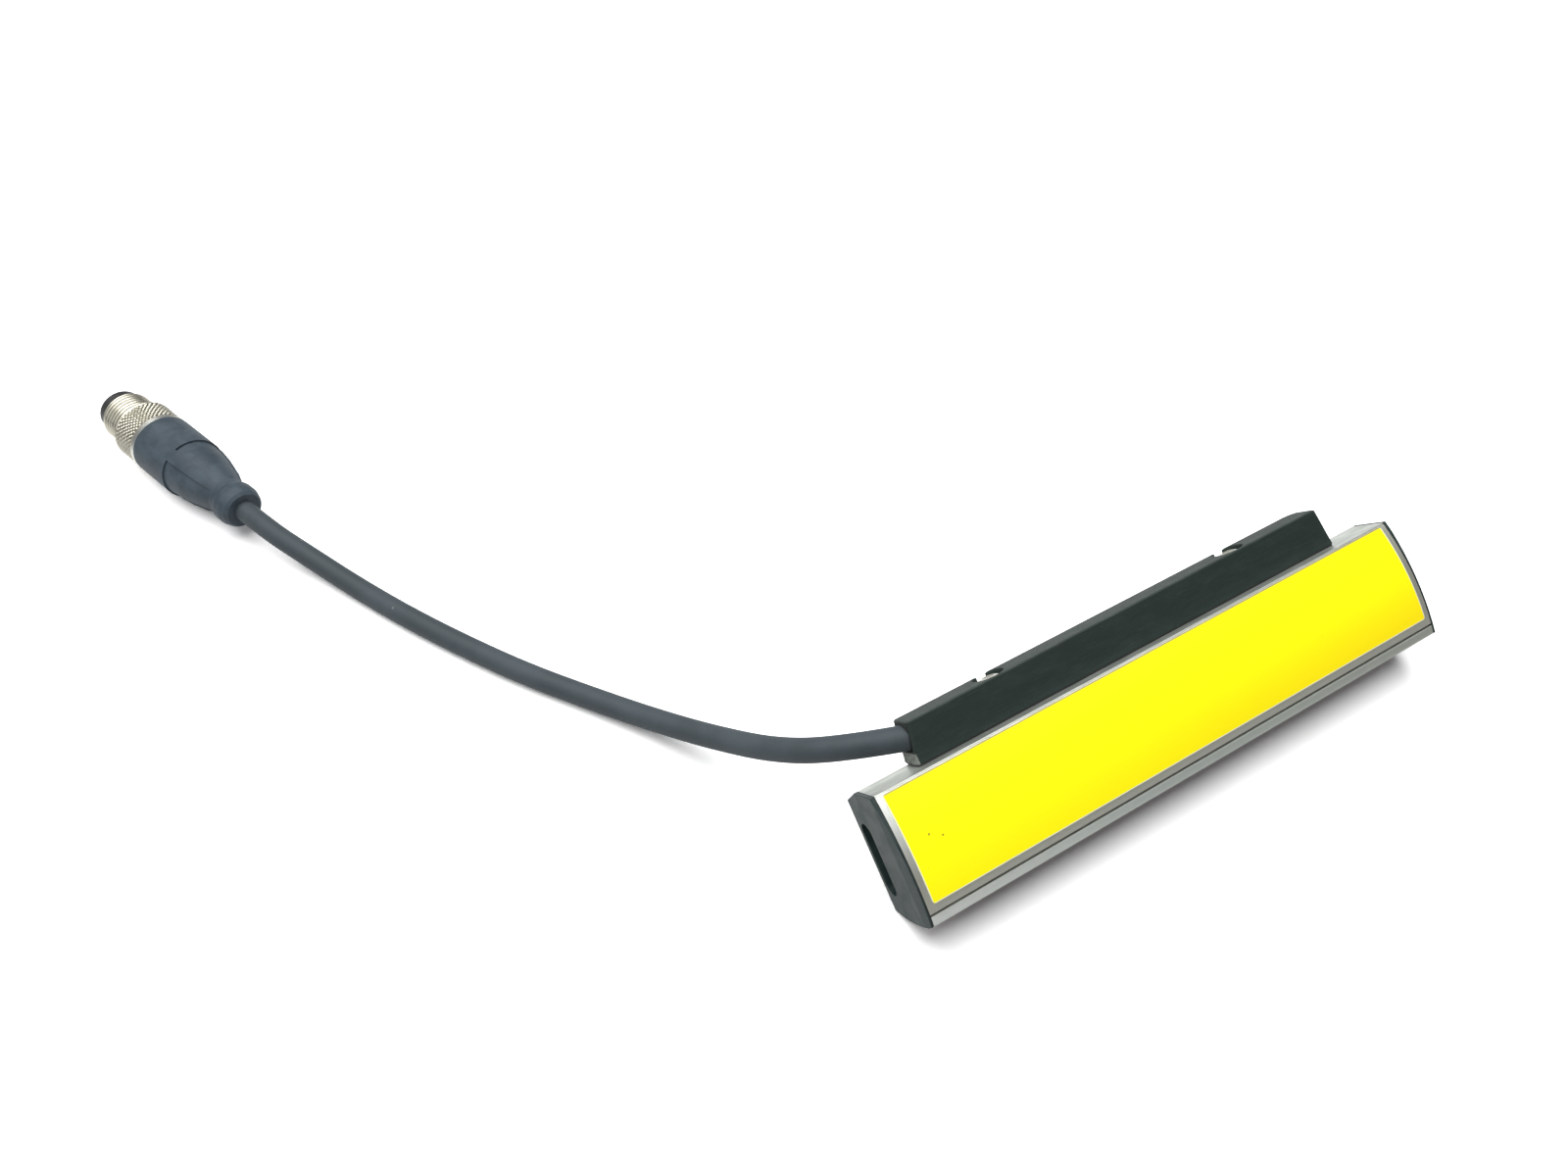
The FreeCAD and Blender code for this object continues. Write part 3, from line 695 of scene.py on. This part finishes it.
# Painted shade: darker in the roots of the knurl and of the thread.
knurl_root_shade = 1 - radius.between(RING_RADIUS - KNURL_DEPTH, RING_RADIUS - KNURL_DEPTH * 0.2)
knurl_root_shade = knurl_root_shade * (along > knurl_start) * (along < knurl_end)
thread_root_shade = 1 - radius.between(THREAD_RADIUS - THREAD_DEPTH, THREAD_RADIUS)
thread_root_shade = thread_root_shade * (along > THREAD_START) * (along < thread_stop)
dirt_and_shade = knurl_root_shade + thread_root_shade
plated = graph.mix(tarnish * 0.7, NICKEL, NICKEL_TARNISHED)
# Painted highlight: the rear chamfer ring is painted paler.
plated = graph.mix(along < knurl_start, plated, NICKEL_CHAMFER_HIGHLIGHT)
surface.set({
    "Base Color": graph.mix(dirt_and_shade * 0.7, plated, NICKEL_ROOT_SHADE),
    "Roughness": 0.34 + tarnish * 0.08 + turning * 0.06,
    "Metallic": 1.0,
})

diamond_inputs = {"Diamonds": "NodeSocketFloat", "Diamond length": "NodeSocketFloat"}
knurl = relief_tree("diamond_knurl", nickel, diamond_inputs, diamond_height)
thread = relief_tree("fine_thread", nickel, {"Pitch": "NodeSocketFloat"}, thread_height)
knurl_mesh = grown("knurl", knurl, {
    "Start": knurl_start, "Length": knurl_end - knurl_start,
    "Radius": RING_RADIUS, "Depth": KNURL_DEPTH,
    "Rows": KNURL_ROWS, "Segments": SEGMENTS, "Run-out": KNURL_RUN_OUT,
    "Diamonds": float(DIAMONDS_AROUND), "Diamond length": DIAMOND_LENGTH,
})
thread_mesh = grown("thread", thread, {
    "Start": THREAD_START, "Length": thread_stop - THREAD_START,
    "Radius": THREAD_RADIUS, "Depth": THREAD_DEPTH,
    "Rows": THREAD_ROWS, "Segments": SEGMENTS, "Run-out": THREAD_RUN_OUT, "Pitch": THREAD_PITCH,
})


def turned(mesh, outline, segments):
    """Adds the surface that an outline of (along, radius) points sweeps round the first axis."""
    rings = []
    for along, radius in outline:
        ring = []
        for i in range(segments):
            angle = 2 * math.pi * (i / segments - 0.5)
            ring.append(mesh.verts.new((along, radius * math.sin(angle), radius * math.cos(angle))))
        rings.append(ring)
    for one, other in zip(rings, rings[1:]):
        for i in range(segments):
            j = (i + 1) % segments
            mesh.faces.new((one[i], one[j], other[j], other[i]))


def shade(mesh, crease):
    """Smooth shading with hard edges above the crease angle."""
    for face in mesh.polygons:
        face.use_smooth = True
    shaped = bmesh.new()
    shaped.from_mesh(mesh)
    for edge in shaped.edges:
        edge.smooth = edge.calc_face_angle(0.0) < crease
    shaped.to_mesh(mesh)
    shaped.free()


body = bmesh.new()
body.from_mesh(knurl_mesh)
body.from_mesh(thread_mesh)
turned(body, [
    (knurl_end, RING_RADIUS), (RING_END, RING_RADIUS - RING_FRONT_CHAMFER),
    (RING_END, RELIEF_RADIUS), (THREAD_START - RELIEF_SLOPE, RELIEF_RADIUS),
    (THREAD_START, THREAD_RADIUS),
], SEGMENTS)
turned(body, [
    (thread_stop, THREAD_RADIUS), (THREAD_END, THREAD_RADIUS - THREAD_CHAMFER),
    (THREAD_END, SLEEVE_BORE), (COLLAR_END, SLEEVE_BORE), (COLLAR_END, NECK_BORE),
    (SLEEVE_BACK, NECK_BORE),
    (SLEEVE_BACK, RING_RADIUS - RING_EDGE), (knurl_start, RING_RADIUS),
], SEGMENTS)
bmesh.ops.remove_doubles(body, verts=body.verts, dist=RING_WELD)
bmesh.ops.recalc_face_normals(body, faces=body.faces)
sleeve_mesh = bpy.data.meshes.new("knurled_sleeve")
body.to_mesh(sleeve_mesh)
body.free()
sleeve_mesh.materials.clear()
sleeve_mesh.materials.append(nickel)
for face in sleeve_mesh.polygons:
    face.material_index = 0
sleeve_mesh.transform(plug_place)
shade(sleeve_mesh, CREASE)
sleeve = bpy.data.objects.new("knurled_sleeve", sleeve_mesh)
bpy.context.scene.collection.objects.link(sleeve)
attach(sleeve, "coupling")
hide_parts("coupling_sleeve")


# --- Floor, light and camera ---------------------------------------------------------------------
# A plain pale surface under a large soft lamp and a small one, and a camera above the plug's side
# of the stick. The surface is brighter to the camera than to the object, and keeps its shadow.

FLOOR_REACH = 0.55
FLOOR_MATT = (0.8, 0.8, 0.8, 1.0)
FLOOR_SEEN = (1.3, 1.3, 1.3, 1.0)
WHITE = (1.0, 1.0, 1.0, 1.0)
AMBIENT = 0.16
CAMERA_LENS = 27.19
CAMERA_PLACE = (-0.11615, -0.0725, 0.2027)
CAMERA_TURNS = [(-28.36, "Z"), (38.14, "X"), (-1.97, "Z")]

floor_mesh = bpy.data.meshes.new("floor")
corners = [(x * FLOOR_REACH, y * FLOOR_REACH, 0) for x, y in ((-1, -1), (1, -1), (1, 1), (-1, 1))]
floor_mesh.from_pydata(corners, [], [(0, 1, 2, 3)])
floor = bpy.data.objects.new("floor", floor_mesh)
bpy.context.scene.collection.objects.link(floor)

paper = bpy.data.materials.new("white_paper")
paper.use_nodes = True
paper.node_tree.nodes.clear()
graph = Graph(paper.node_tree)
rays = graph.node("ShaderNodeLightPath")
seen = rays["Is Camera Ray"].most(rays["Is Transmission Ray"])
matt = graph.node("ShaderNodeBsdfDiffuse", {}, {"Color": FLOOR_MATT})["BSDF"]
bright = graph.node("ShaderNodeBsdfDiffuse", {}, {"Color": FLOOR_SEEN})["BSDF"]
blend = graph.node("ShaderNodeMixShader", {}, {0: seen, 1: matt, 2: bright})
graph.node("ShaderNodeOutputMaterial", {}, {"Surface": blend[0]})
floor_mesh.materials.append(paper)

world = bpy.data.worlds.new("studio")
bpy.context.scene.world = world
world.use_nodes = True
graph = Graph(world.node_tree)
backdrop = graph.node("ShaderNodeLightPath")["Is Camera Ray"]
background = Node(graph, world.node_tree.nodes["Background"])
background.set({"Color": WHITE, "Strength": backdrop * (1.0 - AMBIENT) + AMBIENT})


def soft_lamp(name, place, target, size, power):
    """A square lamp of that size in metres and power in watts, aimed at the target."""
    lamp = bpy.data.lights.new(name, "AREA")
    lamp.shape = "SQUARE"
    lamp.size = size
    lamp.energy = power
    holder = bpy.data.objects.new(name, lamp)
    holder.location = place
    holder.rotation_euler = (Vector(target) - Vector(place)).to_track_quat("-Z", "Y").to_euler()
    bpy.context.scene.collection.objects.link(holder)


soft_lamp(
    "overhead_softbox", place=(-0.05, 0.26, 0.80), target=(-0.05, 0.08, 0.0),
    size=1.0, power=14.0,
)
soft_lamp(
    "side_softbox", place=(-0.7, 0.1, 0.45), target=(-0.05, 0.05, 0.0),
    size=0.5, power=1.0,
)

camera_data = bpy.data.cameras.new("camera")
camera_data.sensor_width = 36.0
camera_data.lens = CAMERA_LENS
camera_data.clip_start = 0.005
camera = bpy.data.objects.new("camera", camera_data)
heading, pitch, roll = [Matrix.Rotation(math.radians(turn), 4, axis) for turn, axis in CAMERA_TURNS]
camera.matrix_world = Matrix.Translation(CAMERA_PLACE) @ heading @ pitch @ roll
bpy.context.scene.collection.objects.link(camera)
bpy.context.scene.camera = camera
bpy.context.scene.view_settings.view_transform = "Standard"
